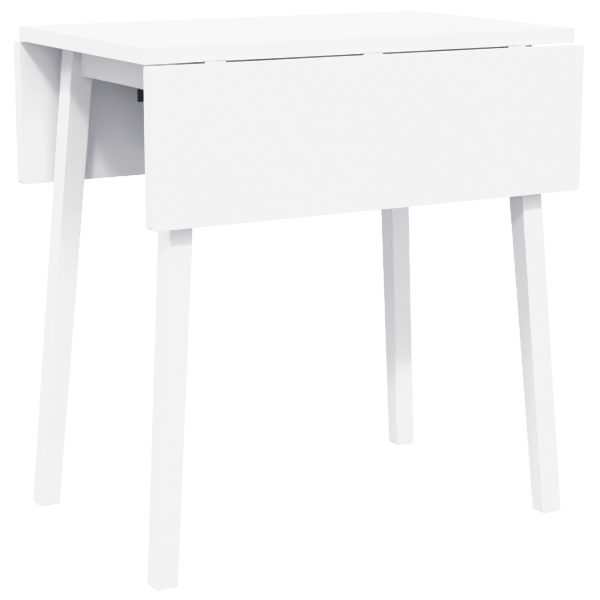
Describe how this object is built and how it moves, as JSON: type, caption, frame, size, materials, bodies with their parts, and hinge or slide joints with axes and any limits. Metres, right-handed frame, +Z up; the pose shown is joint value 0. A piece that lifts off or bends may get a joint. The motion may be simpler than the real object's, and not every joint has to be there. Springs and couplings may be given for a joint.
{
  "type": "drop-leaf table",
  "caption": "Small white drop-leaf table: fixed rectangular top on splayed tapered legs, with a hinged leaf hanging on each long side and folding steel stays that hold it up.",
  "frame": {"origin": "on the floor, under the middle of the fixed top, at rest with both leaves hanging", "axes": "+Z up, +X along the leaf hinges (the long side of the top), +Y towards the back leaf"},
  "size_m": [0.7, 0.4704, 0.74],
  "materials": {
    "white_board": "smooth satin white foil",
    "white_frame": "satin white paint",
    "plain_wood": "sawn, unpainted",
    "hinge_brass": "pale brass plating",
    "zinc_steel": "bright zinc",
    "black_steel": "black powder coat",
    "grey_plastic": "moulded",
    "white_plastic": "moulded"
  },
  "bodies": {
    "back_leaf_panel": {"back_leaf": "white_board", "hinge_leaf_plate_back_left": "hinge_brass", "hinge_leaf_plate_back_middle": "hinge_brass", "hinge_leaf_plate_back_right": "hinge_brass", "hinge_leaf_screws_back": "zinc_steel", "striker_plates_back": "black_steel", "striker_screws_back": "zinc_steel"},
    "stand": {"corner_block_back_left": "plain_wood", "corner_block_back_right": "plain_wood", "corner_block_front_left": "plain_wood", "corner_block_front_right": "plain_wood", "corner_block_screws": "zinc_steel", "end_rail_left": "white_frame", "end_rail_right": "white_frame", "foot_glides": "white_plastic", "hinge_pins_back": "hinge_brass", "hinge_pins_front": "hinge_brass", "hinge_top_plate_back_left": "hinge_brass", "hinge_top_plate_back_middle": "hinge_brass", "hinge_top_plate_back_right": "hinge_brass", "hinge_top_plate_front_left": "hinge_brass", "hinge_top_plate_front_middle": "hinge_brass", "hinge_top_plate_front_right": "hinge_brass", "hinge_top_screws_back": "zinc_steel", "hinge_top_screws_front": "zinc_steel", "leg_back_left": "white_frame", "leg_back_right": "white_frame", "leg_bolts": "zinc_steel", "leg_front_left": "white_frame", "leg_front_right": "white_frame", "leg_nuts": "zinc_steel", "leg_washers": "zinc_steel", "long_rail_back": "white_frame", "long_rail_front": "white_frame", "stay_bracket_back_left": "black_steel", "stay_bracket_back_right": "black_steel", "stay_bracket_front_left": "black_steel", "stay_bracket_front_right": "black_steel", "stay_bracket_screws": "zinc_steel", "stay_pivot_pins": "black_steel", "table_top": "white_board", "top_bracket_screws": "zinc_steel", "top_brackets": "zinc_steel"},
    "front_leaf_panel": {"front_leaf": "white_board", "hinge_leaf_plate_front_left": "hinge_brass", "hinge_leaf_plate_front_middle": "hinge_brass", "hinge_leaf_plate_front_right": "hinge_brass", "hinge_leaf_screws_front": "zinc_steel", "striker_plates_front": "black_steel", "striker_screws_front": "zinc_steel"},
    "stay_back_left": {"stay_arm_back_left": "black_steel", "stay_pad_back_left": "grey_plastic"},
    "stay_back_right": {"stay_arm_back_right": "black_steel", "stay_pad_back_right": "grey_plastic"},
    "stay_front_left": {"stay_arm_front_left": "black_steel", "stay_pad_front_left": "grey_plastic"},
    "stay_front_right": {"stay_arm_front_right": "black_steel", "stay_pad_front_right": "grey_plastic"}
  },
  "joints": [
    {"name": "front_leaf_hinge", "type": "hinge", "parent": "stand", "child": "front_leaf_panel", "pos_m": [0, -0.2119, 0.7167], "axis": [-1, 0, 0], "range_deg": [0, 90]},
    {"name": "back_leaf_hinge", "type": "hinge", "parent": "stand", "child": "back_leaf_panel", "pos_m": [0, 0.2119, 0.7167], "axis": [1, 0, 0], "range_deg": [0, 90]},
    {"name": "stay_pivot_front_left", "type": "hinge", "parent": "stand", "child": "stay_front_left", "pos_m": [-0.131, -0.197, 0.645], "axis": [-1, 0, 0], "range_deg": [0, 135]},
    {"name": "stay_pivot_front_right", "type": "hinge", "parent": "stand", "child": "stay_front_right", "pos_m": [0.131, -0.197, 0.645], "axis": [-1, 0, 0], "range_deg": [0, 135]},
    {"name": "stay_pivot_back_left", "type": "hinge", "parent": "stand", "child": "stay_back_left", "pos_m": [-0.131, 0.197, 0.645], "axis": [1, 0, 0], "range_deg": [0, 135]},
    {"name": "stay_pivot_back_right", "type": "hinge", "parent": "stand", "child": "stay_back_right", "pos_m": [0.131, 0.197, 0.645], "axis": [1, 0, 0], "range_deg": [0, 135]}
  ],
  "couplings": [
    {"joint": "stay_pivot_front_left", "follows": "front_leaf_hinge", "ratio": 1.5},
    {"joint": "stay_pivot_front_right", "follows": "front_leaf_hinge", "ratio": 1.5},
    {"joint": "stay_pivot_back_left", "follows": "back_leaf_hinge", "ratio": 1.5},
    {"joint": "stay_pivot_back_right", "follows": "back_leaf_hinge", "ratio": 1.5}
  ]
}
